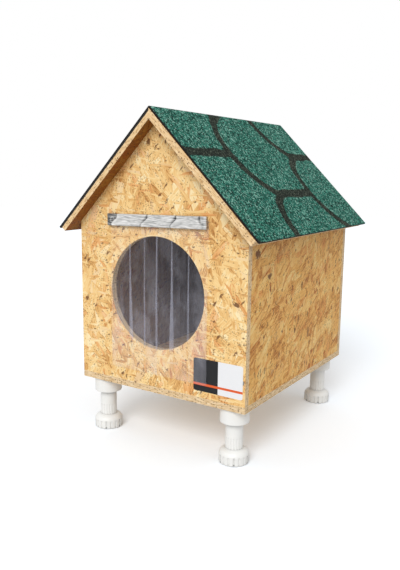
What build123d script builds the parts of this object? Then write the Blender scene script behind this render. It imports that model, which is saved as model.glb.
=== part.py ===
from build123d import *
import math
import os

# Pet house of chipboard panels on four screw-adjustable legs, in millimetres.
# Z = 0 is the floor that the feet stand on, X = 0 the plane of the ridge,
# Y = 0 the middle of the roof, and the door faces -Y.

# Panels
panel_t = 12.0
house_width = 360.0
house_depth = 430.0
side_wall_h = 291.0          # outer face, floor panel to roof
roof_pitch = 45.0            # degrees
roof_length = 490.0
roof_front_overhang = 26.0
roof_side_overhang = 17.3    # level distance from wall face to soffit edge

# Roof covering
felt_t = 3.4
felt_drip = 6.0              # past the panel's eave, along the slope
felt_setback = 1.5           # short of the panel at each gable end
felt_ridge_r = 3.0

# Doorway
door_r = 101.5
door_x = -4.0
door_h = 172.4               # centre above the floor panel

# Carved batten over the doorway
batten_len = 212.0
batten_h = 21.5
batten_base_t = 4.4
batten_relief_t = 2.6
batten_x = -3.5
batten_rise = 300.7          # centre above the floor panel
batten_tilt = 1.2            # degrees, right end up
relief_count = 3
relief_pitch = 64.0
relief_gap = 3.0
relief_slant = 12.0
relief_start = 15.0          # from the batten's left end
relief_border = 1.2

# Clear strip curtain
sheet_t = 1.5
header_h = 14.0
curtain_left = -106.0
curtain_right = 105.0
slit_x = [-62.5, -29.0, 0.5, 34.0, 65.5]
slit_gap = 0.5
strip_off_wall = 0.4
pivot_gap = 0.9              # header's lower edge to the strip's top
curtain_bottom_h = 23.3      # above the floor panel's top
strip_corner_r = 1.5

# Blank label
label_w = 98.0
label_h = 58.5
label_t = 0.15
label_r = 4.0
label_x = 126.1
label_z = 41.0               # centre above the floor panel's top

# Screw through the front wall into the right wall
wall_screw_h = 42.0          # above the floor panel's top
wall_screw_r = 2.0
wall_screw_head_r = 3.9
wall_screw_head_d = 2.3
wall_screw_len = 38.0

# Legs
leg_h = 103.0                # floor panel's underside above the ground
leg_inset_x = 36.0
leg_inset_y = 30.0
cup_r = 26.0
cup_h = 28.0
cup_base_t = 4.0
cup_wall = 2.5
cup_flange_r = 27.0
cup_flange_t = 3.0
sleeve_wall = 2.2
cup_ribs = 8
cup_rib_t = 1.8
cup_rib_recess = 2.0
tube_r = 15.7
tube_bore_r = 12.0
flute_len = 20.5
flute_count = 18
flute_r = 1.2
flute_out = 0.3              # groove centre outside the tube's surface

# Feet
foot_h = 26.7
foot_gap = 0.3               # tube's end to the foot's top when screwed in
foot_r = 27.0
foot_rim_h = 13.0
foot_neck_r = 16.5
foot_neck_h = 1.2
foot_edge = 1.5
scallop_count = 18
scallop_every = 3            # every third groove is a deep one
scallop_r = 2.0
scallop_out = 0.3
scallop_h = 16.5
notch_r = 1.6
notch_in = 0.3
vent_w = 3.6
vent_d = 5.0
vent_h = 3.2
foot_recess_r = 20.0
foot_recess_h = 2.5
foot_web = 1.5               # left under the spigot's bore
spigot_r = 8.0
spigot_len = 16.0

# Threaded stems
stem_len = 44.0              # inside the tube when screwed in
thread_pitch = 4.0
thread_depth = 1.2
thread_clear = 0.1
spigot_clear = 0.05

# Leg screws
leg_screw_r = 2.0
leg_screw_head_r = 4.5
leg_screw_head_h = 3.0
leg_screw_grip = 10.0        # length in the floor panel

# Fit of a fixed piece in its hole
hole_clear = 0.05

pitch = math.radians(roof_pitch)
cos_p = math.cos(pitch)
sin_p = math.sin(pitch)
half_w = house_width / 2
front_y = -roof_length / 2 + roof_front_overhang
back_y = front_y + house_depth
floor_z = leg_h
deck_z = floor_z + panel_t
eave_z = deck_z + side_wall_h
ridge_z = eave_z + half_w * math.tan(pitch)
soffit_len = (half_w + roof_side_overhang) / cos_p


def box(x0, x1, y0, y1, z0, z1):
    size = Vector(x1 - x0, y1 - y0, z1 - z0)
    mid = Vector((x0 + x1) / 2, (y0 + y1) / 2, (z0 + z1) / 2)
    return Pos(mid.X, mid.Y, mid.Z) * Box(size.X, size.Y, size.Z)


def prism_xz(points, y0, y1):
    # A polygon drawn in X and Z, pushed from y0 to y1.
    wire = Polyline(*[(x, y1, z) for x, z in points], close=True)
    return extrude(make_face(wire), amount=y1 - y0, dir=(0, -1, 0))


def rod(x, y, z0, z1, radius):
    return Pos(x, y, (z0 + z1) / 2) * Cylinder(radius, z1 - z0)


def rod_y(x, z, y0, y1, radius):
    return Pos(x, (y0 + y1) / 2, z) * Rot(90, 0, 0) * Cylinder(radius, y1 - y0)


def slope_point(side, along, out):
    # A point on the roof's section: distance down the slope from the inner
    # ridge, and distance outwards from the soffit.
    x = along * cos_p + out * sin_p
    z = ridge_z - along * sin_p + out * cos_p
    return (side * x, z)


parts = {}

# Floor and walls
parts["floor_panel"] = box(-half_w, half_w, front_y, back_y, floor_z, deck_z)

gable = [
    (-half_w, deck_z),
    (half_w, deck_z),
    (half_w, eave_z),
    (0, ridge_z),
    (-half_w, eave_z),
]
door_z = deck_z + door_h
doorway = rod_y(door_x, door_z, front_y - 1, front_y + panel_t + 1, door_r)
front_wall = prism_xz(gable, front_y, front_y + panel_t) - doorway
parts["back_wall"] = prism_xz(gable, back_y - panel_t, back_y)

inner_x = half_w - panel_t
inner_eave_z = ridge_z - inner_x * math.tan(pitch)
for name, side in (("left_wall", -1), ("right_wall", 1)):
    section = [
        (side * inner_x, deck_z),
        (side * half_w, deck_z),
        (side * half_w, eave_z),
        (side * inner_x, inner_eave_z),
    ]
    parts[name] = prism_xz(section, front_y + panel_t, back_y - panel_t)

# Screw at the label's edge, countersunk flush in the front wall
screw_x = half_w - panel_t / 2
screw_z = deck_z + wall_screw_h


def wall_screw_shape(clear):
    head = Pos(screw_x, front_y + wall_screw_head_d / 2, screw_z) * Rot(-90, 0, 0) * Cone(
        wall_screw_head_r + clear, wall_screw_r + clear, wall_screw_head_d
    )
    shank = rod_y(
        screw_x,
        screw_z,
        front_y + wall_screw_head_d,
        front_y + wall_screw_len + clear,
        wall_screw_r + clear,
    )
    return head + shank


parts["wall_screw"] = wall_screw_shape(0)
screw_hole = wall_screw_shape(hole_clear)
parts["front_wall"] = front_wall - screw_hole
parts["right_wall"] = parts["right_wall"] - screw_hole

# Roof panels, mitred at the ridge and cut square at the eaves
roof_y = roof_length / 2
for name, side in (("roof_panel_left", -1), ("roof_panel_right", 1)):
    section = [
        (0, ridge_z),
        slope_point(side, soffit_len, 0),
        slope_point(side, soffit_len, panel_t),
        (0, ridge_z + panel_t / cos_p),
    ]
    parts[name] = prism_xz(section, -roof_y, roof_y)

# One length of felt, folded over the ridge
felt_len = soffit_len + felt_drip
felt_out = panel_t + felt_t
felt_section = [
    (0, ridge_z + panel_t / cos_p),
    slope_point(1, felt_len, panel_t),
    slope_point(1, felt_len, felt_out),
    (0, ridge_z + felt_out / cos_p),
    slope_point(-1, felt_len, felt_out),
    slope_point(-1, felt_len, panel_t),
]
felt_y = roof_y - felt_setback
felt = prism_xz(felt_section, -felt_y, felt_y)
ridge_edge = felt.edges().filter_by(Axis.Y).sort_by(Axis.Z)[-1]
parts["roof_felt"] = fillet(ridge_edge, min(felt_ridge_r, felt_t * 0.95))

# Batten: a flat bar with raised carved lengths whose ends are cut on the slant
batten_z = deck_z + batten_rise
batten_back_y = front_y - sheet_t
batten_face_y = batten_back_y - batten_base_t
batten_place = Pos(batten_x, 0, batten_z) * Rot(0, -batten_tilt, 0)
half_b = batten_h / 2
batten = box(-batten_len / 2, batten_len / 2, batten_face_y, batten_back_y, -half_b, half_b)
relief_z = half_b - relief_border
for i in range(relief_count):
    x0 = -batten_len / 2 + relief_start + i * relief_pitch
    x1 = x0 + relief_pitch - relief_gap
    outline = [
        (x0 - relief_slant / 2, -relief_z),
        (x1 - relief_slant / 2, -relief_z),
        (x1 + relief_slant / 2, relief_z),
        (x0 + relief_slant / 2, relief_z),
    ]
    relief = prism_xz(outline, batten_face_y - batten_relief_t, batten_face_y)
    front = relief.faces().sort_by(Axis.Y)[0]
    relief = chamfer(front.edges(), batten_relief_t * 0.6)
    batten = batten + relief
parts["door_batten"] = batten_place * batten

# Curtain header, clamped behind the batten, and the strips below it
header_z = -half_b
header = box(
    curtain_left - batten_x,
    curtain_right - batten_x,
    front_y - sheet_t,
    front_y,
    header_z,
    header_z + header_h,
)
parts["curtain_header"] = batten_place * header

tilt = math.radians(batten_tilt)


def header_edge_z(x):
    # Height of the header's tilted lower edge at x.
    return batten_z - half_b / math.cos(tilt) + (x - batten_x) * math.tan(tilt)


strip_back_y = front_y - strip_off_wall
strip_face_y = strip_back_y - sheet_t
strip_bottom_z = deck_z + curtain_bottom_h
strip_edges = [curtain_left] + slit_x + [curtain_right]
for i in range(len(strip_edges) - 1):
    x0 = strip_edges[i] + (slit_gap / 2 if i else 0)
    last = i == len(strip_edges) - 2
    x1 = strip_edges[i + 1] - (0 if last else slit_gap / 2)
    top = min(header_edge_z(x0), header_edge_z(x1)) - pivot_gap
    strip = box(x0, x1, strip_face_y, strip_back_y, strip_bottom_z, top)
    low = strip.edges().filter_by(Axis.Y).group_by(Axis.Z)[0]
    parts[f"curtain_strip_{i + 1}"] = fillet(low, strip_corner_r)
    pivot = (0, (strip_face_y + strip_back_y) / 2, top)
    print(f"strip {i + 1} pivot", [round(v, 3) for v in pivot])

# Label on the front wall, its left end under the curtain
label_mid_z = deck_z + label_z
label = box(
    label_x - label_w / 2,
    label_x + label_w / 2,
    front_y - label_t,
    front_y,
    label_mid_z - label_h / 2,
    label_mid_z + label_h / 2,
)
parts["blank_label"] = fillet(label.edges().filter_by(Axis.Y), label_r)

# Legs, modelled about the leg's own axis and then moved to the corners
cup_bottom = floor_z - cup_h
cup_roof = floor_z - cup_base_t
sleeve_bore = tube_r + hole_clear
sleeve_r = sleeve_bore + sleeve_wall
cup = rod(0, 0, cup_bottom, floor_z, cup_r)
cup = fillet(cup.edges().filter_by(GeomType.CIRCLE).sort_by(Axis.Z)[0], 1.0)
cup = cup + rod(0, 0, floor_z - cup_flange_t, floor_z, cup_flange_r)
cup = cup - (rod(0, 0, cup_bottom - 1, cup_roof, cup_r - cup_wall))
cup = cup + rod(0, 0, cup_bottom, cup_roof, sleeve_r)
rib_mid = (sleeve_bore + cup_r - cup_wall / 2) / 2 + sleeve_wall / 4
rib_len = cup_r - cup_wall / 2 - sleeve_bore - sleeve_wall / 2
for i in range(cup_ribs):
    rib = Pos(rib_mid, 0, (cup_bottom + cup_rib_recess + cup_roof) / 2) * Box(
        rib_len, cup_rib_t, cup_roof - cup_bottom - cup_rib_recess
    )
    cup = cup + Rot(0, 0, (i + 0.5) * 360 / cup_ribs) * rib
cup = cup - rod(0, 0, cup_bottom - 1, cup_roof, sleeve_bore)
cup = cup - rod(0, 0, cup_roof - 1, floor_z + 1, leg_screw_r + hole_clear)

tube_bottom = foot_h + foot_gap
plain_tube = rod(0, 0, tube_bottom + flute_len, cup_roof, tube_r)
flute_section = Circle(tube_r) - [
    Rot(0, 0, i * 360 / flute_count) * Pos(tube_r + flute_out, 0) * Circle(flute_r)
    for i in range(flute_count)
]
fluted_tube = extrude(Pos(0, 0, tube_bottom) * flute_section, amount=flute_len)
tube = plain_tube + fluted_tube
tube = tube - rod(0, 0, tube_bottom - 1, cup_roof + 1, tube_bore_r)

leg_screw = rod(0, 0, cup_roof - leg_screw_head_h, cup_roof, leg_screw_head_r)
leg_screw = fillet(leg_screw.edges().filter_by(GeomType.CIRCLE).sort_by(Axis.Z)[0], 1.2)
leg_screw = leg_screw + rod(0, 0, cup_roof, floor_z + leg_screw_grip, leg_screw_r)
leg_screw_hole = rod(0, 0, floor_z - 1, floor_z + leg_screw_grip + hole_clear, leg_screw_r + hole_clear)

# Stem: plain spigot held in the foot, then a coarse thread up into the tube
stem_r = tube_bore_r - thread_clear
spigot_bottom = foot_recess_h + foot_web
spigot_top = spigot_bottom + spigot_len
stem_top = tube_bottom + stem_len
profile = [(0, spigot_bottom), (spigot_r, spigot_bottom), (spigot_r, spigot_top)]
profile += [(stem_r, spigot_top)]
turn_z = tube_bottom
while turn_z + thread_pitch < stem_top:
    profile += [
        (stem_r, turn_z),
        (stem_r - thread_depth, turn_z + thread_pitch * 0.25),
        (stem_r - thread_depth, turn_z + thread_pitch * 0.45),
        (stem_r, turn_z + thread_pitch * 0.7),
    ]
    turn_z += thread_pitch
profile += [(stem_r, stem_top - 1.5), (stem_r - 1.5, stem_top), (0, stem_top)]
stem = revolve(make_face(Polyline(*[(x, 0, z) for x, z in profile], close=True)), Axis.Z)

# Foot: domed shoulder over a scalloped rim, with a bored seat for the stem
dome_r0 = (foot_r, foot_rim_h)
dome_r1 = (foot_neck_r, foot_h - foot_neck_h)
dome_mid = (
    foot_neck_r + (foot_r - foot_neck_r) * 0.74,
    foot_rim_h + (foot_h - foot_neck_h - foot_rim_h) * 0.74,
)


def rz(point):
    return (point[0], 0, point[1])


outline = [
    Line(rz((0, 0)), rz((foot_r - foot_edge, 0))),
    Line(rz((foot_r - foot_edge, 0)), rz((foot_r, foot_edge))),
    Line(rz((foot_r, foot_edge)), rz(dome_r0)),
    ThreePointArc(rz(dome_r0), rz(dome_mid), rz(dome_r1)),
    Line(rz(dome_r1), rz((foot_neck_r, foot_h))),
    Line(rz((foot_neck_r, foot_h)), rz((0, foot_h))),
    Line(rz((0, foot_h)), rz((0, 0))),
]
foot = revolve(make_face(Wire(outline)), Axis.Z)
for i in range(scallop_count):
    turn = Rot(0, 0, i * 360 / scallop_count)
    if i % scallop_every:
        groove = rod(foot_r + scallop_out, 0, -1, scallop_h - scallop_r, scallop_r)
        groove = groove + Pos(foot_r + scallop_out, 0, scallop_h - scallop_r) * Sphere(scallop_r)
    else:
        groove = rod(foot_r - notch_in, 0, -1, scallop_h, notch_r)
        groove = groove + box(foot_r - vent_d, foot_r + 1, -vent_w / 2, vent_w / 2, -1, vent_h)
    foot = foot - turn * groove
foot = foot - rod(0, 0, -1, foot_recess_h, foot_recess_r)
foot = foot - rod(0, 0, spigot_bottom, foot_h + 1, spigot_r + spigot_clear)
foot = foot - rod(0, 0, spigot_top, foot_h + 1, stem_r + thread_clear)

leg_x = half_w - leg_inset_x
corners = {
    "front_left": (-leg_x, front_y + leg_inset_y),
    "front_right": (leg_x, front_y + leg_inset_y),
    "back_left": (-leg_x, back_y - leg_inset_y),
    "back_right": (leg_x, back_y - leg_inset_y),
}
for corner, (x, y) in corners.items():
    place = Pos(x, y, 0)
    parts[f"leg_cup_{corner}"] = place * cup
    parts[f"leg_tube_{corner}"] = place * tube
    parts[f"leg_screw_{corner}"] = place * leg_screw
    parts[f"foot_stem_{corner}"] = place * stem
    parts[f"foot_{corner}"] = place * foot
    parts["floor_panel"] = parts["floor_panel"] - place * leg_screw_hole
    print(corner, "leg axis", round(x, 3), round(y, 3))

print("front face y", front_y, "back face y", back_y, "deck z", deck_z, "eave z", eave_z, "ridge z", ridge_z)
os.makedirs("parts", exist_ok=True)
for name, shape in parts.items():
    if isinstance(shape, ShapeList):
        shape = Compound(children=list(shape))
    export_step(shape, f"parts/{name}.step")
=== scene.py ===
import math

import bmesh
import bpy
from mathutils import Matrix, Vector, noise


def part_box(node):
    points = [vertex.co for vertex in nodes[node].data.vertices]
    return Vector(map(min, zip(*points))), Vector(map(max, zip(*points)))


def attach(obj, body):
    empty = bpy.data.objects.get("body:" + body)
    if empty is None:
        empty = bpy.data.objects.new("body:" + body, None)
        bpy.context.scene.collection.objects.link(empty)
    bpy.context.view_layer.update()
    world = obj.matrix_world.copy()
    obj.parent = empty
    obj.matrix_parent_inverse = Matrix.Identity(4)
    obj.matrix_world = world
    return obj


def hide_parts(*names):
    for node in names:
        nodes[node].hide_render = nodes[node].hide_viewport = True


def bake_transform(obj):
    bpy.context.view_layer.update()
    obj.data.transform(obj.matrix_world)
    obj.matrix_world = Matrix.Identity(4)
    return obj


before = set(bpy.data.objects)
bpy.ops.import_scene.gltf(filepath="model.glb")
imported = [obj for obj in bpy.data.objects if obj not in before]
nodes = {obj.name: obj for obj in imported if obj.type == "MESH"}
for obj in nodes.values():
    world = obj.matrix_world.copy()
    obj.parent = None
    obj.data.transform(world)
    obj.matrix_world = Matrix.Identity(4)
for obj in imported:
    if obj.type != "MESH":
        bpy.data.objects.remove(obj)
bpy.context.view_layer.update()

LOW, HIGH = 0, 1
X_AXIS, Y_AXIS, Z_AXIS = 0, 1, 2


def edge_of(node, end, axis):
    """Where the box of a CAD node begins or ends along an axis, in whole hundredths of a mm."""
    return round(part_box(node)[end][axis], 5)


# Directions and places that several pieces go by
X, Y, Z = (1, 0, 0), (0, 1, 0), (0, 0, 1)
LEFTWARD, BACKWARD = (-1, 0, 0), (0, -1, 0)
SLANT = math.sqrt(0.5)
CORNERS = ("front_left", "front_right", "back_left", "back_right")
FRONT_Y = edge_of("front_wall", LOW, Y_AXIS)


def srgb(r, g, b):
    """A screen colour, 0 to 255, as the linear colour that shaders take."""

    def linear(c):
        c = c / 255
        return c / 12.92 if c <= 0.04045 else ((c + 0.055) / 1.055) ** 2.4

    return (linear(r), linear(g), linear(b), 1.0)


class Nodes:
    """Short calls for wiring the nodes of one tree."""

    def __init__(self, tree):
        self.tree = tree
        self.tree.nodes.clear()

    def feed(self, socket, value):
        """Links a socket to another node's output, or sets it to a plain value."""
        if isinstance(value, bpy.types.NodeSocket):
            self.tree.links.new(value, socket)
        else:
            socket.default_value = value

    def node(self, kind, ins=None, **props):
        node = self.tree.nodes.new(kind)
        for key, value in props.items():
            setattr(node, key, value)
        for key, value in (ins or {}).items():
            self.feed(node.inputs[key], value)
        return node

    def add(self, kind, ins=None, out=0, **props):
        return self.node(kind, ins, **props).outputs[out]

    def math(self, operation, a, b=0.0, c=0.0):
        return self.add("ShaderNodeMath", {0: a, 1: b, 2: c}, operation=operation)

    def plus(self, a, b):
        return self.math("ADD", a, b)

    def minus(self, a, b):
        return self.math("SUBTRACT", a, b)

    def times(self, a, b):
        return self.math("MULTIPLY", a, b)

    def scaled(self, a, by, shift):
        """a times by, plus shift."""
        return self.math("MULTIPLY_ADD", a, by, shift)

    def size(self, a):
        return self.math("ABSOLUTE", a)

    def most(self, a, b):
        return self.math("MAXIMUM", a, b)

    def below(self, a, limit):
        """1 where a is less than the limit, and 0 elsewhere."""
        return self.math("LESS_THAN", a, limit)

    def above(self, a, limit):
        """1 where a is more than the limit, and 0 elsewhere."""
        return self.math("GREATER_THAN", a, limit)

    def step(self, value, low, high, a=0.0, b=1.0):
        """a below low, b above high, and a smooth turn between them."""
        return self.add(
            "ShaderNodeMapRange",
            {0: value, 1: low, 2: high, 3: a, 4: b},
            interpolation_type="SMOOTHSTEP",
        )

    def length(self, a, b):
        """The length of a way that goes a along and b across."""
        return self.math("SQRT", self.plus(self.times(a, a), self.times(b, b)))

    def dot(self, vector, axis):
        return self.add(
            "ShaderNodeVectorMath", {0: vector, 1: axis}, out="Value", operation="DOT_PRODUCT"
        )

    def xyz(self, x, y, z=0.0):
        return self.add("ShaderNodeCombineXYZ", {0: x, 1: y, 2: z})

    def split(self, vector):
        return self.node("ShaderNodeSeparateXYZ", {0: vector}).outputs

    def rgb(self, color):
        return self.node("ShaderNodeSeparateColor", {0: color}).outputs

    def choose(self, share, a, b):
        """The number a where share is 0, and b where it is 1."""
        return self.add("ShaderNodeMix", {0: share, 2: a, 3: b}, data_type="FLOAT")

    def mix(self, share, a, b, blend="MIX"):
        """The colour a where share is 0, and b, or a blended with b, where it is 1."""
        return self.add(
            "ShaderNodeMix",
            {0: share, 6: a, 7: b},
            out=2,
            data_type="RGBA",
            blend_type=blend,
            clamp_factor=True,
        )

    def ramp(self, value, stops):
        """A colour for each value, from colours at a few stops."""
        node = self.node("ShaderNodeValToRGB", {0: value})
        items = node.color_ramp.elements
        while len(items) < len(stops):
            items.new(0.5)
        for item, (position, color) in zip(items, stops):
            item.position = position
            item.color = color
        return node.outputs[0]

    def noise(self, place, scale, detail=2.0, rough=0.5, dims="3D"):
        return self.add(
            "ShaderNodeTexNoise",
            {"Vector": place, "Scale": scale, "Detail": detail, "Roughness": rough},
            noise_dimensions=dims,
        )

    def cells(self, place, scale=1.0, dims="2D"):
        """Scattered cells: the way to a cell's middle, and three random values for it."""
        node = self.node(
            "ShaderNodeTexVoronoi", {"Vector": place, "Scale": scale}, voronoi_dimensions=dims
        )
        return node.outputs["Distance"], self.rgb(node.outputs["Color"])

    def attribute(self, name):
        """A value that the mesh keeps at each of its points."""
        return self.add("ShaderNodeAttribute", out="Fac", attribute_name=name)


class Mat(Nodes):
    """A material and the nodes that make it."""

    def __init__(self, name):
        self.mat = bpy.data.materials.new(name)
        self.mat.use_nodes = True
        super().__init__(self.mat.node_tree)

    def place(self):
        return self.add("ShaderNodeTexCoord", out="Object")

    def normal(self):
        return self.add("ShaderNodeNewGeometry", out="Normal")

    def surface(self, shader):
        self.node("ShaderNodeOutputMaterial", {"Surface": shader})
        return self.mat

    def finish(self, bump, strength, distance, **ins):
        """Ends in one shader: relief from a height, and the shader's own inputs by name."""
        relief = self.add(
            "ShaderNodeBump", {"Strength": strength, "Distance": distance, "Height": bump}
        )
        values = {key.replace("_", " "): value for key, value in ins.items()}
        return self.surface(self.add("ShaderNodeBsdfPrincipled", {"Normal": relief, **values}))


def dress(names, mat):
    """Gives CAD nodes a material."""
    for name in names:
        slots = nodes[name].data.materials
        slots.clear()
        slots.append(mat)


def put(name, data):
    """Puts a mesh, lamp or camera into the scene."""
    obj = bpy.data.objects.new(name, data)
    bpy.context.scene.collection.objects.link(obj)
    return obj


# Strand board: its colours and kinds of strand
FACE_TONES = [
    (0.12, srgb(186, 128, 66)),
    (0.30, srgb(228, 178, 110)),
    (0.46, srgb(244, 203, 138)),
    (0.62, srgb(250, 216, 154)),
    (0.85, srgb(255, 238, 196)),
]
CUT_TONES = [
    (0.28, srgb(186, 148, 100)),
    (0.45, srgb(222, 190, 144)),
    (0.58, srgb(234, 207, 166)),
    (0.75, srgb(248, 230, 198)),
]
WARM_STRAND, PALE_STRAND = srgb(230, 154, 86), srgb(255, 236, 200)
# the second of these colours is painted shade, for the gaps along strand edges
DOT_BROWN, GAP_SHADE_BROWN = srgb(112, 68, 30), srgb(122, 76, 34)
HOLE_BROWN, PORE_BROWN = srgb(100, 56, 24), srgb(96, 64, 38)
TAR_BLACK = srgb(26, 24, 22)

# each kind of strand: length and width in metres, the share of places that hold one,
# how strong its grain is, and how far its tone may differ from its neighbours'
LONG_STRAND = (0.055, 0.0125, 0.42, 0.45, 0.34)
SHORT_STRAND = (0.024, 0.0050, 0.17, 0.35, 0.26)
SHORT_LAYERS = 3
STRAND_SCATTER = 0.92
GRAIN_ALONG, GRAIN_ACROSS = 38.0, 480.0
STRAND_BEND = 0.012

# how much of the light is left on inner faces near the doorway and at the back
CABIN_LIGHT = (0.78, 0.16)
CABIN_DEPTH = (FRONT_Y + 0.02, FRONT_Y + 0.36)


def turned(m, u, v, angle):
    """The place u, v measured along an angle and across it."""
    c, s = math.cos(angle), math.sin(angle)
    along = m.plus(m.times(u, c), m.times(v, s))
    across = m.plus(m.times(u, -s), m.times(v, c))
    return along, across


def strands(m, u, v, angle, length, width, seed):
    """One layer of wood strands lying at an angle: random values per strand,
    the way to the strand's edge, and its grain."""
    along, across = turned(m, u, v, angle)
    cell = m.xyz(
        m.scaled(along, 1 / length, seed * 7.31),
        m.scaled(across, 1 / width, seed * 3.17),
    )
    first, second = (
        m.node(
            "ShaderNodeTexVoronoi",
            {"Vector": cell, "Scale": 1.0, "Randomness": STRAND_SCATTER},
            voronoi_dimensions="2D",
            feature=feature,
            distance="CHEBYCHEV",
        ).outputs
        for feature in ("F1", "F2")
    )
    pick = m.rgb(first["Color"])
    edge = m.minus(second["Distance"], first["Distance"])
    line_at = m.xyz(
        m.scaled(pick[2], 31.0, m.times(along, GRAIN_ALONG)), m.times(across, GRAIN_ACROSS)
    )
    grain = m.noise(line_at, 1.0, 3.0, 0.7, "2D")
    return pick, edge, grain


def strand_layers(m, u, v, seed, lean, spread, layers):
    """Layers of strands over each other: the tone, height, hue and rim of whichever strand
    lies on top, the rim's colour being painted shade in the gap along its edge. The last layers are
    of short strands."""
    broken = m.noise(m.xyz(u, v), 75.0, 1.0, 0.5, "2D")
    top = None
    for i in range(layers):
        kind = LONG_STRAND if i < layers - SHORT_LAYERS else SHORT_STRAND
        length, width, cover, streak, tone_range = kind
        angle = lean + spread * math.sin(seed * 1.7 + i * 2.4)
        length *= 1 + 0.3 * math.sin(i * 1.9 + seed)
        width *= 1 + 0.3 * math.cos(i * 1.3 + seed)
        pick, edge, grain = strands(m, u, v, angle, length, width, seed + i * 1.618)

        streaky = m.times(m.minus(grain, 0.5), m.scaled(pick[2], 0.60, streak))
        tone = m.plus(streaky, m.scaled(pick[1], tone_range, 0.35))
        height = m.scaled(m.step(edge, 0.0, 0.10), 0.5, 0.1 * i)
        # painted shade in the gaps along strand edges, on some stretches only
        rim = m.times(m.step(edge, 0.02, 0.11, 1.0, 0.0), m.step(broken, 0.50, 0.62))
        strand = (tone, height, pick[2], rim)
        if top is None:
            top = strand
        else:
            on = m.below(pick[0], cover)
            top = [m.choose(on, under, over) for under, over in zip(top, strand)]
    return top


def slivers(m, u, v, angle, size, stretch, share, seed):
    """Thin slivers lying along an angle; share is how many of the places hold one."""
    along, across = turned(m, u, v, angle)
    ragged = m.noise(m.xyz(u, v), 1.1 / size, 2.0, 0.7, "2D")
    cell = m.xyz(
        m.scaled(along, 1 / (size * stretch), seed),
        m.plus(m.times(across, 1 / size), m.times(ragged, 1.6)),
    )
    away, pick = m.cells(cell)
    return m.times(m.below(pick[0], share), m.step(away, 0.14, 0.42, 1.0, 0.0))


def dark_marks(m, u, v, seed, lean, knots):
    """Dots in loose clusters between the strands, and holes: larger slivers and knots."""
    flat = m.xyz(u, v)
    crowd = m.step(m.noise(flat, 19.0, 2.0, 0.6, "2D"), 0.42, 0.64, 0.05, 0.30)
    dot = m.most(
        slivers(m, u, v, lean + 0.9, 0.0024, 1.9, crowd, seed),
        slivers(m, u, v, lean - 0.5, 0.0021, 2.6, m.times(crowd, 0.6), seed + 4.0),
    )
    hole = m.most(
        slivers(m, u, v, lean + 0.45, 0.0056, 3.6, 0.034, seed + 9.0),
        slivers(m, u, v, lean - 0.25, 0.0040, 2.6, 0.024, seed + 6.0),
    )
    ragged = m.scaled(m.noise(flat, 230.0, 3.0, 0.7, "2D"), 2.0, -1.0)
    for at_u, at_v, half_u, half_v in knots:
        away = m.length(
            m.scaled(u, 1 / half_u, -at_u / half_u), m.scaled(v, 1 / half_v, -at_v / half_v)
        )
        away = m.plus(away, ragged)
        hole = m.most(hole, m.step(away, 0.6, 1.1, 1.0, 0.0))
    return dot, hole


def cut_edge(m, run, w, tint):
    """Strands end-on, in thin layers with open pores: their colour and relief.
    run goes along the board's edge, and w through its thickness."""
    layered = m.noise(m.xyz(m.times(run, 60.0), m.times(w, 520.0)), 1.0, 3.0, 0.65, "2D")
    stray = m.noise(m.xyz(run, w), 300.0, 2.0, 0.6, "2D")
    away, pick = m.cells(m.xyz(m.times(run, 190.0), m.scaled(w, 560.0, stray)))
    pore = m.times(m.below(pick[0], 0.26), m.step(away, 0.16, 0.44, 1.0, 0.0))
    color = m.ramp(layered, CUT_TONES)
    color = m.mix(m.times(pore, 0.86), color, PORE_BROWN)
    color = m.mix(1.0, color, tint, "MULTIPLY")
    return color, m.minus(layered, pore)


def tarred(m, color, w, outer, reach):
    """Bitumen smeared from the felt over a board's front edge, as far as reach."""
    smear = m.scaled(m.noise(m.place(), 260.0, 2.0, 0.6), 0.0014, w)
    near = m.step(smear, outer - reach, outer - reach + 0.0006)
    in_front = m.below(m.dot(m.normal(), Y), -0.5)
    return m.mix(m.times(near, in_front), color, TAR_BLACK)


def painted_cabin_shade(m, color, inside):
    """Painted shade on the faces that look inside, darker the deeper in the cabin they lie."""
    left = m.step(m.dot(m.place(), Y), *CABIN_DEPTH, *CABIN_LIGHT)
    light = m.xyz(left, m.times(left, 0.92), m.times(left, 0.90))
    inner = m.step(m.dot(m.normal(), inside), 0.5, 0.7)
    return m.mix(inner, color, m.mix(1.0, color, light, "MULTIPLY"))


PLAIN = (1.0, 1.0, 1.0, 1.0)
FAIR = (1.0, 0.99, 0.95, 1.0)
# a browner tone with painted shade, for the side and back walls
SIDE_TONE_PAINTED_SHADE = (0.92, 0.765, 0.495, 1.0)
# painted shade for the roof panels' faces, seen on their undersides
SOFFIT_PAINTED_SHADE = (0.31, 0.165, 0.032, 1.0)
# painted light on the roof panels' cut edges
EDGE_PAINTED_LIGHT = (1.06, 1.01, 0.92, 1.0)


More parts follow.
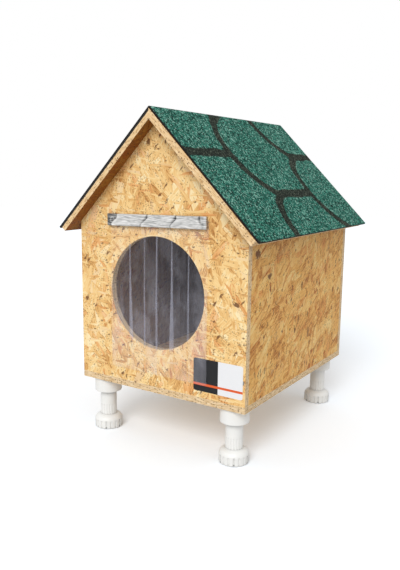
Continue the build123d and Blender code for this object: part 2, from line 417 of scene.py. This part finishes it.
def board(
    name,
    axes,
    seed,
    lean,
    spread,
    tint,
    contrast,
    cut_tint=PLAIN,
    layers=7,
    inside=None,
    knots=(),
    tar=0.0,
):
    """Strand board: strands on its faces, and streaked layers on its cut edges.
    axes are two along the board, and the one square to it.
    lean is the strands' mean angle, and spread is how far they turn from it.
    inside points to the cabin, on a board that stands round it.
    knots are dark marks, each at a place along u and v with its half sizes.
    tar is how far the bitumen of the felt comes down over the board's front edge."""
    u_axis, v_axis, n_axis = axes
    m = Mat("board_" + name)
    p = m.place()
    u = m.dot(p, u_axis)
    v = m.dot(p, v_axis)
    w = m.dot(p, n_axis)
    on_face = m.step(m.size(m.dot(m.normal(), n_axis)), 0.55, 0.75)
    v = m.scaled(m.noise(m.xyz(u, v), 13.0, 1.0, 0.5, "2D"), STRAND_BEND, v)
    flat = m.xyz(u, v)

    tone, height, hue, rim = strand_layers(m, u, v, seed, lean, spread, layers)
    cloud = m.noise(flat, 16.0, 2.0, 0.6, "2D")
    tone = m.plus(tone, m.scaled(cloud, 0.38, -0.20))
    tone = m.scaled(m.minus(tone, 0.5), contrast, 0.5)
    face = m.ramp(tone, FACE_TONES)
    face = m.mix(m.step(hue, 0.86, 0.95, 0.0, 0.42), face, WARM_STRAND, "MULTIPLY")
    face = m.mix(m.step(hue, 0.02, 0.12, 0.42, 0.0), face, PALE_STRAND)

    dot, hole = dark_marks(m, u, v, seed, lean, knots)
    fine = m.noise(flat, 260.0, 2.0, 0.7, "2D")
    # painted shade in the gaps along the strands' edges, broken into flecks
    painted_gap_shade = m.times(rim, m.step(fine, 0.48, 0.62))
    face = m.mix(m.times(dot, 0.62), face, DOT_BROWN)
    face = m.mix(m.times(painted_gap_shade, 0.72), face, GAP_SHADE_BROWN)
    face = m.mix(m.times(hole, 0.88), face, HOLE_BROWN)
    # the tint also carries painted shade on the side, back and roof boards
    face = m.mix(1.0, face, tint, "MULTIPLY")

    cut, cut_relief = cut_edge(m, m.plus(u, v), w, cut_tint)
    if tar:
        outer = max(point.co.dot(n_axis) for point in nodes[name].data.vertices)
        cut = tarred(m, cut, w, outer, tar)
    color = m.mix(on_face, cut, face)
    if inside:
        color = painted_cabin_shade(m, color, inside)
    relief = m.minus(height, m.times(hole, 1.2))
    relief = m.scaled(rim, -0.5, relief)
    return m.finish(
        bump=m.choose(on_face, cut_relief, relief),
        strength=0.35,
        distance=0.0005,
        Base_Color=color,
        Roughness=m.scaled(cloud, 0.2, 0.55),
        Specular_IOR_Level=0.35,
    )


GABLE, FLANK, LEVEL = (X, Z, Y), (Y, Z, X), (X, Y, Z)
LEFT_SLOPE = (Y, (-SLANT, 0, -SLANT), (-SLANT, 0, SLANT))
RIGHT_SLOPE = (Y, (SLANT, 0, -SLANT), (SLANT, 0, SLANT))
FRONT_KNOTS = [(0.160, 0.293, 0.0070, 0.0044), (-0.020, 0.555, 0.0042, 0.0062)]
RIGHT_KNOTS = [
    (-0.188, 0.374, 0.0100, 0.0080),
    (-0.142, 0.331, 0.0080, 0.0060),
    (-0.006, 0.296, 0.0034, 0.0100),
    (-0.031, 0.219, 0.0040, 0.0080),
    (0.032, 0.197, 0.0034, 0.0120),
]
FLANK_LOOKS = dict(axes=FLANK, lean=1.05, spread=0.85, tint=SIDE_TONE_PAINTED_SHADE, contrast=1.8)
SLOPE_LOOKS = dict(lean=0.3, spread=0.9, tint=SOFFIT_PAINTED_SHADE, contrast=1.3, cut_tint=EDGE_PAINTED_LIGHT, layers=5)
BOARDS = {
    "front_wall": dict(
        axes=GABLE,
        seed=1.0,
        lean=0.5,
        spread=1.4,
        tint=FAIR,
        contrast=1.35,
        inside=Y,
        knots=FRONT_KNOTS,
    ),
    "back_wall": dict(
        axes=GABLE, seed=5.2, lean=0.9, spread=1.3, tint=SIDE_TONE_PAINTED_SHADE, contrast=1.3, inside=BACKWARD
    ),
    "left_wall": dict(FLANK_LOOKS, seed=6.0, inside=X),
    "right_wall": dict(FLANK_LOOKS, seed=2.3, inside=LEFTWARD, knots=RIGHT_KNOTS),
    "floor_panel": dict(
        axes=LEVEL, seed=4.4, lean=0.2, spread=0.8, tint=FAIR, contrast=1.2, layers=5
    ),
    "roof_panel_left": dict(SLOPE_LOOKS, axes=LEFT_SLOPE, seed=6.5, tar=0.0026),
    "roof_panel_right": dict(SLOPE_LOOKS, axes=RIGHT_SLOPE, seed=7.7),
}
for node, looks in BOARDS.items():
    dress([node], board(node, **looks))

# Roof felt: stone granules with darker bands that draw arched tabs. A band bends
# round each arc, and a straight one runs on from where two arcs meet.
FELT_RIDGE_Z = 0.60778
TAB = 0.200
COLUMN = 0.197
FIRST_COLUMN = -0.301
ARC_R = 0.115
ARC_RISE = ARC_R - math.sqrt(ARC_R**2 - (TAB / 2) ** 2)
BAND = 0.0205
DOWN_SLOPE = 0.006
SLOT_FROM, SLOT_TO = 0.03, 0.27
WAVER = 0.010
RAGGED = 0.006
GREEN_TONES = [
    (0.12, srgb(10, 38, 32)),
    (0.36, srgb(26, 82, 70)),
    (0.58, srgb(40, 110, 94)),
    (0.78, srgb(70, 144, 126)),
    (0.95, srgb(146, 192, 176)),
]
BAND_TONES = [
    (0.15, srgb(16, 22, 18)),
    (0.50, srgb(36, 44, 36)),
    (0.80, srgb(54, 64, 54)),
    (0.96, srgb(92, 100, 86)),
]
BITUMEN, WORN_BITUMEN = srgb(14, 14, 14), srgb(48, 46, 44)


def felt_bands(m, p, py, s):
    """1 on the dark bands, and 0 on the green. s is the way down a slope from the ridge,
    below 0 on the left one. Where a band doesn't run, its line counts as a metre away."""
    waver = m.scaled(m.noise(m.xyz(py, s), 22.0, 2.0, 0.5, "2D"), WAVER, -WAVER / 2)
    lead = BAND / 2
    along = m.minus(m.plus(py, waver), FIRST_COLUMN - lead)
    column = m.math("FLOOR", m.math("DIVIDE", along, COLUMN))
    in_column = m.minus(m.minus(along, m.times(column, COLUMN)), lead)
    shift = m.times(m.math("FLOORED_MODULO", column, 2.0), TAB / 2)
    in_tab = m.minus(m.plus(m.plus(s, waver), TAB / 2), shift)
    in_tab = m.size(m.minus(m.math("FLOORED_MODULO", in_tab, TAB), TAB / 2))

    arc = m.size(m.minus(m.length(m.minus(in_column, ARC_R), in_tab), ARC_R))
    arc = m.plus(arc, m.above(in_column, ARC_RISE + 0.02))
    slot = m.plus(m.minus(TAB / 2, in_tab), m.below(in_column, ARC_RISE - 0.004))
    slope_at = m.size(s)
    slot = m.plus(slot, m.most(m.below(slope_at, SLOT_FROM), m.above(slope_at, SLOT_TO)))
    tail = m.plus(in_tab, m.above(in_column, 0.0))
    near = m.math("SMOOTH_MIN", arc, slot, 0.012)
    near = m.math("SMOOTH_MIN", near, tail, 0.008)
    near = m.plus(near, m.scaled(m.noise(p, 380.0, 2.0, 0.7), RAGGED, -RAGGED / 2))
    return m.step(near, BAND / 2 - 0.002, BAND / 2 + 0.0015, 1.0, 0.0)


def felt():
    """Granules on the upper side, and bare bitumen on the cut edges and below."""
    m = Mat("roof_felt")
    p = m.place()
    px, py, pz = m.split(p)
    side = m.math("SIGN", px)
    fall = m.minus(m.plus(m.size(px), FELT_RIDGE_Z), pz)
    s = m.scaled(m.times(fall, SLANT), side, -DOWN_SLOPE)
    band = felt_bands(m, p, py, s)

    away, grit = m.cells(p, 430.0, "3D")
    fine = m.noise(p, 900.0, 2.0, 0.7)
    worn = m.noise(p, 9.0, 3.0, 0.6)
    tone = m.scaled(grit[0], 0.95, m.times(fine, 0.40))
    tone = m.plus(tone, m.scaled(worn, 0.16, -0.26))
    granules = m.mix(band, m.ramp(tone, GREEN_TONES), m.ramp(tone, BAND_TONES))

    n = m.normal()
    up = m.dot(n, Z)
    on_slope = m.above(m.plus(up, m.times(m.dot(n, X), side)), 1.0)
    on_ridge = m.times(m.above(up, 0.6), m.below(m.size(m.dot(n, Y)), 0.5))
    bare = m.mix(fine, BITUMEN, WORN_BITUMEN)
    color = m.mix(m.most(on_slope, on_ridge), bare, granules)
    bump = m.scaled(away, -0.6, m.times(fine, 0.5))
    return m.finish(
        bump=m.scaled(band, -0.5, bump),
        strength=0.7,
        distance=0.0009,
        Base_Color=color,
        Roughness=m.scaled(grit[1], 0.25, 0.68),
        Specular_IOR_Level=0.12,
    )


dress(["roof_felt"], felt())


def plastic():
    """Moulded white plastic, with painted shade in its creases and corners."""
    m = Mat("white_plastic")
    p = m.place()
    flow = m.noise(p, 35.0, 3.0, 0.5)
    color = m.mix(m.times(flow, 0.8), srgb(244, 244, 242), srgb(236, 236, 232))
    open_air = m.add("ShaderNodeAmbientOcclusion", {"Distance": 0.007}, out="AO", samples=8)
    # painted shade: darker where little open air is near, in creases, ribs and corners
    painted_crease_shade = m.step(open_air, 0.25, 0.80, 0.55, 0.0)
    return m.finish(
        bump=m.noise(p, 1400.0, 2.0, 0.6),
        strength=0.12,
        distance=0.0002,
        Base_Color=m.mix(painted_crease_shade, color, srgb(150, 146, 140)),
        Roughness=m.scaled(flow, 0.16, 0.34),
        Specular_IOR_Level=0.45,
    )


moulded = [
    kind + corner for kind in ("leg_cup_", "leg_tube_", "foot_stem_", "foot_") for corner in CORNERS
]
dress(moulded, plastic())


def steel():
    """Dull zinc on the screws, with faint stains."""
    m = Mat("screw_steel")
    p = m.place()
    stain = m.noise(p, 300.0, 2.0, 0.6)
    return m.finish(
        bump=m.noise(p, 2200.0, 2.0, 0.6),
        strength=0.2,
        distance=0.0002,
        Base_Color=m.mix(stain, srgb(120, 112, 104), srgb(168, 164, 158)),
        Roughness=m.scaled(stain, 0.3, 0.25),
        Metallic=1.0,
    )


dress(["wall_screw"] + ["leg_screw_" + corner for corner in CORNERS], steel())

# Label: a dark field on the left, a pale one on the right, and a bar across both
DARK_TO = edge_of("blank_label", LOW, X_AXIS) + 0.0496
BAR_LOW = edge_of("blank_label", LOW, Z_AXIS) + 0.01055
BAR_HIGH = BAR_LOW + 0.0042
PRINT_SOFT = 0.0001


def label():
    """A printed card with a faint speckle."""
    m = Mat("blank_label")
    p = m.place()
    px, _, pz = m.split(p)
    speckle = m.noise(p, 900.0, 2.0, 0.6)
    dark = m.mix(speckle, srgb(14, 14, 15), srgb(26, 26, 28))
    pale = m.mix(speckle, srgb(232, 233, 236), srgb(243, 244, 246))
    color = m.mix(m.step(px, DARK_TO - PRINT_SOFT, DARK_TO + PRINT_SOFT), dark, pale)
    over_low = m.step(pz, BAR_LOW - PRINT_SOFT, BAR_LOW + PRINT_SOFT)
    under_high = m.step(pz, BAR_HIGH - PRINT_SOFT, BAR_HIGH + PRINT_SOFT, 1.0, 0.0)
    return m.finish(
        bump=speckle,
        strength=0.05,
        distance=0.0001,
        Base_Color=m.mix(m.times(over_low, under_high), color, srgb(226, 96, 44)),
        Roughness=m.scaled(speckle, 0.1, 0.34),
        Specular_IOR_Level=0.3,
    )


dress(["blank_label"], label())


def new_object(name, verts, faces, mat):
    """A smooth-shaded piece, with its normals turned outwards."""
    mesh = bpy.data.meshes.new(name)
    mesh.from_pydata(verts, [], faces)
    mesh.update()
    bm = bmesh.new()
    bm.from_mesh(mesh)
    bmesh.ops.recalc_face_normals(bm, faces=bm.faces)
    bm.to_mesh(mesh)
    bm.free()
    mesh.materials.append(mat)
    for poly in mesh.polygons:
        poly.use_smooth = True
    return put(name, mesh)


def keep_values(obj, name, values):
    """Keeps a value at each point of a piece, for its material to read."""
    attribute = obj.data.attributes.new(name, "FLOAT", "POINT")
    attribute.data.foreach_set("value", values)


def slab(cols, rows, front, back):
    """A closed sheet from two grids of points, front and back, of cols by rows."""
    grid = [(i, j) for j in range(rows) for i in range(cols)]
    verts = [front(i, j) for i, j in grid] + [back(i, j) for i, j in grid]
    n = cols * rows
    faces = []
    for j in range(rows - 1):
        for i in range(cols - 1):
            a = j * cols + i
            faces.append((a, a + 1, a + cols + 1, a + cols))
            faces.append((n + a, n + a + cols, n + a + cols + 1, n + a + 1))
    for low in range(cols - 1):
        top = (rows - 1) * cols + low
        faces.append((low, n + low, n + low + 1, low + 1))
        faces.append((top, top + 1, n + top + 1, n + top))
    for j in range(rows - 1):
        left = j * cols
        right = left + cols - 1
        faces.append((left, left + cols, n + left + cols, n + left))
        faces.append((right, n + right, n + right + cols, right + cols))
    return verts, faces


def smooth(value, low, high):
    """0 below low, 1 above high, and a smooth turn between them."""
    t = min(max((value - low) / (high - low), 0.0), 1.0)
    return t * t * (3 - 2 * t)


def bump_at(value, middle, width):
    """1 in the middle, and less the further away, like a soft hill."""
    return math.exp(-(((value - middle) / width) ** 2))


# Batten: three twisted, grained lengths under silver paint, with the carving's light and shade
# painted into the colour
BATTEN_LEN = 0.212
BATTEN_H = 0.0215
BATTEN_BASE = 0.0044
BATTEN_MID = Vector([round((low + high) / 2, 4) for low, high in zip(*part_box("door_batten"))])
BATTEN_TILT = math.radians(1.2)
BATTEN_BACK = edge_of("curtain_header", LOW, Y_AXIS)
BATTEN_COLS, BATTEN_ROWS = 300, 44

# in mm from the batten's left end: where each twisted length begins at the bottom and
# at the top, where the last one ends, and a plain strip beyond it
LENGTHS = [(8.4, 22.0), (75.0, 91.0), (139.0, 152.0)]
LAST_END = (203.5, 199.5)
STRIP_FROM = 206.2
LENGTH_HIGH = 2.1
SWIRL_X, SWIRL_R = 11.5, 4.4
SILVER_TONES = [
    (0.0, srgb(58, 56, 56)),
    (0.22, srgb(122, 122, 122)),
    (0.50, srgb(184, 184, 182)),
    (0.78, srgb(222, 221, 219)),
    (1.0, srgb(242, 241, 239)),
]


def batten_grain(x, t):
    """Long shallow grooves along the batten, which waver a little."""
    wave = 0.9 * noise.noise(Vector((x * 0.035, t * 1.1, 3.1)))
    lines = noise.noise(Vector((x * 0.055, (t + wave * 0.25) * 6.4, 7.7)))
    fine = noise.noise(Vector((x * 0.15, (t + wave * 0.25) * 13.0, 1.3)))
    return 0.46 * lines + 0.30 * fine


def batten_relief(x, t):
    """Height of the carving in mm, the painted light and shade on it, and its grain, at x mm from
    the left end and t from -1 at the lower edge to 1 at the upper."""
    rise = 0.5 + 0.5 * t
    lefts = [low + (high - low) * smooth(rise, 0.12, 0.78) for low, high in LENGTHS]
    ends = lefts[1:] + [LAST_END[0] + (LAST_END[1] - LAST_END[0]) * rise]
    round_top = math.sqrt(max(0.0, 1 - (0.9 * t) ** 2))
    carve = batten_grain(x, t)
    for left, end in zip(lefts, ends):
        if left - 0.4 <= x <= end:
            begin = smooth(x, left - 0.4, left + 2.4)
            curl = 2.4 + 5.2 * bump_at(rise, 0.66, 0.24)
            # painted shade: a dark crescent where each length ends, deepest in its upper part, where
            # the relief drops too
            deep = 0.06 + 0.94 * smooth(rise, 0.30, 0.58)
            body = begin * (1 - deep * smooth(x, end - curl, end - 0.6))
            # painted highlight on the lower left tip of each length
            painted_tip_highlight = 0.42 * bump_at(x, left + 4.5, 4.0) * (1 - rise) ** 1.5
            high = LENGTH_HIGH * (0.35 + 0.65 * round_top) * body
            return high + carve * (0.35 + 0.65 * body), body + painted_tip_highlight, carve
    if x < lefts[0]:
        ring = math.hypot(x - SWIRL_X, (t + 0.05) * 9.0)
        swirl = 0.6 * math.exp(-((ring - SWIRL_R) ** 2) / 1.2)
        # painted light on the carved ring at the left end, and painted shade round it
        return swirl + 0.5 * carve, 0.16 + 0.80 * swirl, carve
    strip = 0.9 * smooth(x, STRIP_FROM, STRIP_FROM + 0.8)
    # painted light on the plain strip at the right end, brighter past its step
    light = 0.70 + 0.25 * smooth(x, STRIP_FROM + 0.2, STRIP_FROM + 1.2)
    return strip + 0.2 * carve, light, carve


def silver():
    """Brushed silver paint, with the carving's light and shade painted in from its shade values."""
    m = Mat("batten")
    p = m.place()
    px, _, pz = m.split(p)
    waver = m.noise(p, 30.0, 1.0, 0.5)
    line_at = m.xyz(m.times(px, 38.0), m.scaled(waver, 6.0, m.times(pz, 560.0)))
    line = m.noise(line_at, 1.0, 3.0, 0.65, "2D")
    fleck = m.noise(p, 520.0, 2.0, 0.6)
    tone = m.plus(m.attribute("shade"), m.scaled(line, 1.15, -0.57))
    return m.finish(
        bump=m.scaled(fleck, 0.3, line),
        strength=0.35,
        distance=0.0004,
        Base_Color=m.ramp(tone, SILVER_TONES),
        Roughness=m.scaled(fleck, 0.25, 0.38),
        Metallic=0.25,
    )


def make_batten():
    """The carved front over a flat back, tilted a little as it was nailed on."""
    cols, rows = BATTEN_COLS, BATTEN_ROWS
    c, s = math.cos(BATTEN_TILT), math.sin(BATTEN_TILT)
    shade = []

    def at(i, j, depth):
        x = i / (cols - 1) * BATTEN_LEN - BATTEN_LEN / 2
        z = j / (rows - 1) * BATTEN_H - BATTEN_H / 2
        return (
            BATTEN_MID.x + x * c - z * s,
            BATTEN_BACK - depth,
            BATTEN_MID.z + x * s + z * c,
        )

    def front(i, j):
        x = i / (cols - 1) * BATTEN_LEN * 1000
        t = j / (rows - 1) * 2 - 1
        high, light, carve = batten_relief(x, t)
        # the upper and lower edges roll down and are darker
        edge_roll = 1 - smooth(1 - abs(t), 0.0, 0.10)
        # the carving's painted light and shade, and its grain
        shade.append(0.12 + 0.56 * light + 0.66 * carve - 0.10 * edge_roll)
        return at(i, j, BATTEN_BASE + 0.001 * min(max(high, -0.5), 2.55) - 0.0009 * edge_roll)

    verts, faces = slab(cols, rows, front, lambda i, j: at(i, j, 0.0))
    obj = new_object("carved_batten", verts, faces, silver())
    keep_values(obj, "shade", shade + [0.45] * (cols * rows))
    return obj


batten = make_batten()
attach(batten, "house")
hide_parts("door_batten")

# Curtain: clear soft strips, cut from one sheet, with rolled edges and a painted highlight along
# them
LEFT = edge_of("curtain_strip_1", LOW, X_AXIS)
RIGHT = edge_of("curtain_strip_6", HIGH, X_AXIS)
STRIP_LOW = edge_of("curtain_strip_1", LOW, Z_AXIS)
STRIP_BACK = edge_of("curtain_strip_1", HIGH, Y_AXIS)
STRIP_ROWS = 62
SHEET_T = 0.0012
SLIT_GAP = 0.00025
UP_BEHIND_BATTEN = 0.0008
DOOR_X, DOOR_Z, DOOR_R = -0.004, 0.2874, 0.1015

# each slit: x at the top and bottom, width of the painted highlight's margin at the top and
# bottom in mm, and the side of the slit that it lies on
SLITS = [
    (-0.0622, -0.0622, 0.9, 7.0, 1),
    (-0.0290, -0.0290, 0.6, 1.2, 1),
    (0.0000, 0.0005, 2.2, 3.8, -1),
    (0.0310, 0.0375, 1.3, 9.5, -1),
    (0.0650, 0.0655, 0.6, 1.6, 1),
]
# the second colour is the painted highlight's pale blue
CLEAR, PAINTED_HIGHLIGHT_BLUE = srgb(240, 240, 254), srgb(206, 213, 240)


def vinyl(name, strip):
    """Clear sheet, hazy in streaks and clouds. A strip has a pale bluish painted highlight along
    its edges by the values at its points; the header, which isn't a strip, has none."""
    m = Mat(name)
    if strip:
        painted_edge_highlight, body = m.attribute("painted_edge_highlight"), m.attribute("body")
        ux, uz, _ = m.split(m.add("ShaderNodeUVMap", uv_map="sheet"))
    else:
        painted_edge_highlight, body = 0.0, 1.0
        ux, _, uz = m.split(m.place())
    streak = m.noise(m.xyz(m.times(ux, 150.0), m.times(uz, 9.0)), 1.0, 2.0)
    ripple = m.noise(m.xyz(m.times(ux, 60.0), m.times(uz, 22.0)), 1.0, 2.0)
    cloudy = m.noise(m.xyz(ux, m.times(uz, 0.6)), 26.0, 3.0, 0.6, "2D")
    haze = m.scaled(m.step(streak, 0.35, 0.75), 0.016, 0.036)
    haze = m.scaled(m.step(cloudy, 0.44, 0.66), 0.036, haze)
    low_down = m.step(uz, 0.22, 0.36, 1.40, 0.62)
    # painted light: more pale haze just under the batten, over the batten's cast shadow
    painted_light_under_batten = m.step(uz, 0.386, 0.400, 0.0, 0.80)
    haze = m.times(m.times(haze, m.plus(low_down, painted_light_under_batten)), body)
    return m.finish(
        bump=ripple,
        strength=0.25,
        distance=0.002,
        Base_Color=m.mix(painted_edge_highlight, CLEAR, PAINTED_HIGHLIGHT_BLUE),
        Roughness=m.scaled(ripple, 0.12, 0.10),
        Alpha=m.scaled(painted_edge_highlight, 0.42, haze),
        Specular_IOR_Level=0.5,
    )


def header_edge(x):
    """Height of the batten's lower edge at x."""
    middle = BATTEN_MID.z - BATTEN_H / 2 / math.cos(BATTEN_TILT)
    return middle + (x - BATTEN_MID.x) * math.tan(BATTEN_TILT)


def slit_x(which, down):
    """x of a slit, or of the sheet's own edge beyond the last one, by the share of the
    way down."""
    if which < 0:
        return LEFT
    if which >= len(SLITS):
        return RIGHT
    top, low = SLITS[which][:2]
    return top + (low - top) * down


def painted_highlight_at(which, away, side, down):
    """How strong the painted highlight is at a way in mm from the slit on one side of it."""
    if not 0 <= which < len(SLITS):
        return 0.24 * bump_at(away, 0.0, 1.0)
    _, _, top_width, low_width, margin_side = SLITS[which]
    thin = 0.34 + 0.30 * smooth(down, 0.2, 0.8)
    amount = thin * bump_at(away, 0.0, 0.55)
    if margin_side == side:
        width = top_width + (low_width - top_width) * smooth(down, 0.1, 0.95)
        margin = 0.42 * (1 - smooth(away, width - 0.8, width + 0.3))
        amount = max(amount, margin, 0.62 * bump_at(away, width, 0.5))
    return amount


def make_strip(k):
    """The strip between slits k - 1 and k. Its edges curl, and it sways a little."""
    wide = slit_x(k, 0.5) - slit_x(k - 1, 0.5)
    cols = max(24, round(wide / 0.001))
    painted_edge_highlight, inner, flat = [], [], []

    def point(i, j, depth):
        down = 1 - j / (STRIP_ROWS - 1)
        left = slit_x(k - 1, down) + (SLIT_GAP if k else 0)
        right = slit_x(k, down) - (SLIT_GAP if k < len(SLITS) else 0)
        x = left + (right - left) * (i / (cols - 1))
        top = header_edge(x) + UP_BEHIND_BATTEN
        z = STRIP_LOW + (top - STRIP_LOW) * (1 - down)
        from_left, from_right = (x - left) * 1000, (right - x) * 1000
        curl = 0.9 * math.exp(-from_left / 2.2) + 0.9 * math.exp(-from_right / 2.2)
        sway = 0.45 * noise.noise(Vector((x * 22.0, z * 9.0, 5.0 + k)))
        hang = smooth(down, 0.06, 0.5)
        out = (curl * (1.0 if k else 0.5) + 0.45 + sway) * hang / 1000
        return (x, STRIP_BACK - max(out, 0.0) - depth, z), down, from_left, from_right

    def front(i, j):
        place, down, from_left, from_right = point(i, j, SHEET_T)
        x, _, z = place
        amount = max(
            painted_highlight_at(k - 1, from_left, 1, down), painted_highlight_at(k, from_right, -1, down)
        )
        # the painted highlight shows in full over the dark doorway, and at a tenth over the wall
        past_door = smooth(math.hypot(x - DOOR_X, z - DOOR_Z), DOOR_R, DOOR_R + 0.0045)
        painted_edge_highlight.append(amount * smooth(down, 0.0, 0.10) * (0.10 + 0.90 * (1 - past_door)))
        inner.append(smooth(min(from_left, from_right), 0.0, 0.9))
        flat.append((x, z))
        return place

    verts, faces = slab(cols, STRIP_ROWS, front, lambda i, j: point(i, j, 0.0)[0])
    body = "strip_%d" % (k + 1)
    obj = new_object(body, verts, faces, strip_vinyl)
    keep_values(obj, "painted_edge_highlight", painted_edge_highlight + [0.4 * value for value in painted_edge_highlight])
    keep_values(obj, "body", inner + inner)
    uv = obj.data.uv_layers.new(name="sheet")
    for loop in obj.data.loops:
        uv.data[loop.index].uv = flat[loop.vertex_index % len(flat)]
    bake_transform(obj)
    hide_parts("curtain_strip_%d" % (k + 1))


dress(["curtain_header"], vinyl("clear_header", False))
strip_vinyl = vinyl("clear_sheet", True)
for k in range(len(SLITS) + 1):
    make_strip(k)

# Camera, solved from the photograph's edges
CAMERA_AT = Vector((0.65985, -1.10180, 0.50203))
YAW, PITCH, ROLL = 0.57456, -0.17795, 0.01216
FOCAL_PX, HEIGHT_PX = 634.8, 570
SENSOR_MM = 36.0


def make_camera():
    ahead = Vector(
        (-math.sin(YAW) * math.cos(PITCH), math.cos(YAW) * math.cos(PITCH), math.sin(PITCH))
    )
    level_right = Vector((math.cos(YAW), math.sin(YAW), 0))
    level_up = level_right.cross(ahead)
    right = level_right * math.cos(ROLL) + level_up * math.sin(ROLL)
    up = level_up * math.cos(ROLL) - level_right * math.sin(ROLL)
    data = bpy.data.cameras.new("camera")
    data.sensor_fit = "AUTO"
    data.sensor_width = SENSOR_MM
    data.lens = SENSOR_MM * FOCAL_PX / HEIGHT_PX
    camera = put("camera", data)
    turn = Matrix((right, up, -ahead)).transposed().to_4x4()
    camera.matrix_world = Matrix.Translation(CAMERA_AT) @ turn
    bpy.context.scene.camera = camera


make_camera()

# White ground that keeps the shadow, a white surround, and one soft lamp
WHITE = (1, 1, 1, 1)
GROUND_HALF = 6.0
GROUND_LIT = (0.62, 0.62, 0.62, 1)
GROUND_SEEN = (0.93, 0.98, 1.03, 1)
GROUND_GLOW = 0.17
ROOM_LIGHT = 0.62


def seen_by_camera(m, path):
    """1 for what the camera sees, straight or through the clear sheet."""
    return m.most(path["Is Camera Ray"], path["Is Transmission Ray"])


def make_ground():
    """Bright to the camera and in reflections, duller to the object, clear from below."""
    mesh = bpy.data.meshes.new("ground")
    corners = [(-1, -1), (1, -1), (1, 1), (-1, 1)]
    mesh.from_pydata([(x * GROUND_HALF, y * GROUND_HALF, 0) for x, y in corners], [], [(0, 1, 2, 3)])
    put("ground", mesh)
    m = Mat("ground")
    lit = m.add("ShaderNodeBsdfDiffuse", {"Color": GROUND_LIT})
    shaded = m.add("ShaderNodeBsdfDiffuse", {"Color": GROUND_SEEN})
    glow = m.add("ShaderNodeEmission", {"Color": WHITE, "Strength": GROUND_GLOW})
    bright = m.add("ShaderNodeAddShader", {0: shaded, 1: glow})
    path = m.node("ShaderNodeLightPath").outputs
    seen = m.most(seen_by_camera(m, path), path["Is Glossy Ray"])
    from_above = m.add("ShaderNodeMixShader", {0: seen, 1: lit, 2: bright})
    below = m.add("ShaderNodeNewGeometry", out="Backfacing")
    clear = m.add("ShaderNodeBsdfTransparent")
    shown = m.add("ShaderNodeMixShader", {0: below, 1: from_above, 2: clear})
    mesh.materials.append(m.surface(shown))


def make_world():
    """White to the camera, and a softer even light on the object."""
    world = bpy.data.worlds.new("world")
    bpy.context.scene.world = world
    world.use_nodes = True
    m = Nodes(world.node_tree)
    soft = m.add("ShaderNodeBackground", {"Color": WHITE, "Strength": ROOM_LIGHT})
    white = m.add("ShaderNodeBackground", {"Color": WHITE, "Strength": 1.0})
    path = m.node("ShaderNodeLightPath").outputs
    shown = m.add("ShaderNodeMixShader", {0: seen_by_camera(m, path), 1: soft, 2: white})
    m.node("ShaderNodeOutputWorld", {"Surface": shown})


def make_sun(name, toward, strength, degrees):
    """A soft lamp; toward points from the object to the light."""
    data = bpy.data.lights.new(name, "SUN")
    data.energy = strength
    data.angle = math.radians(degrees)
    put(name, data).rotation_euler = Vector(toward).to_track_quat("Z", "Y").to_euler()


make_ground()
make_world()
make_sun("key", (0.20, -0.77, 0.62), 1.7, 30)
bpy.context.scene.view_settings.view_transform = "Standard"
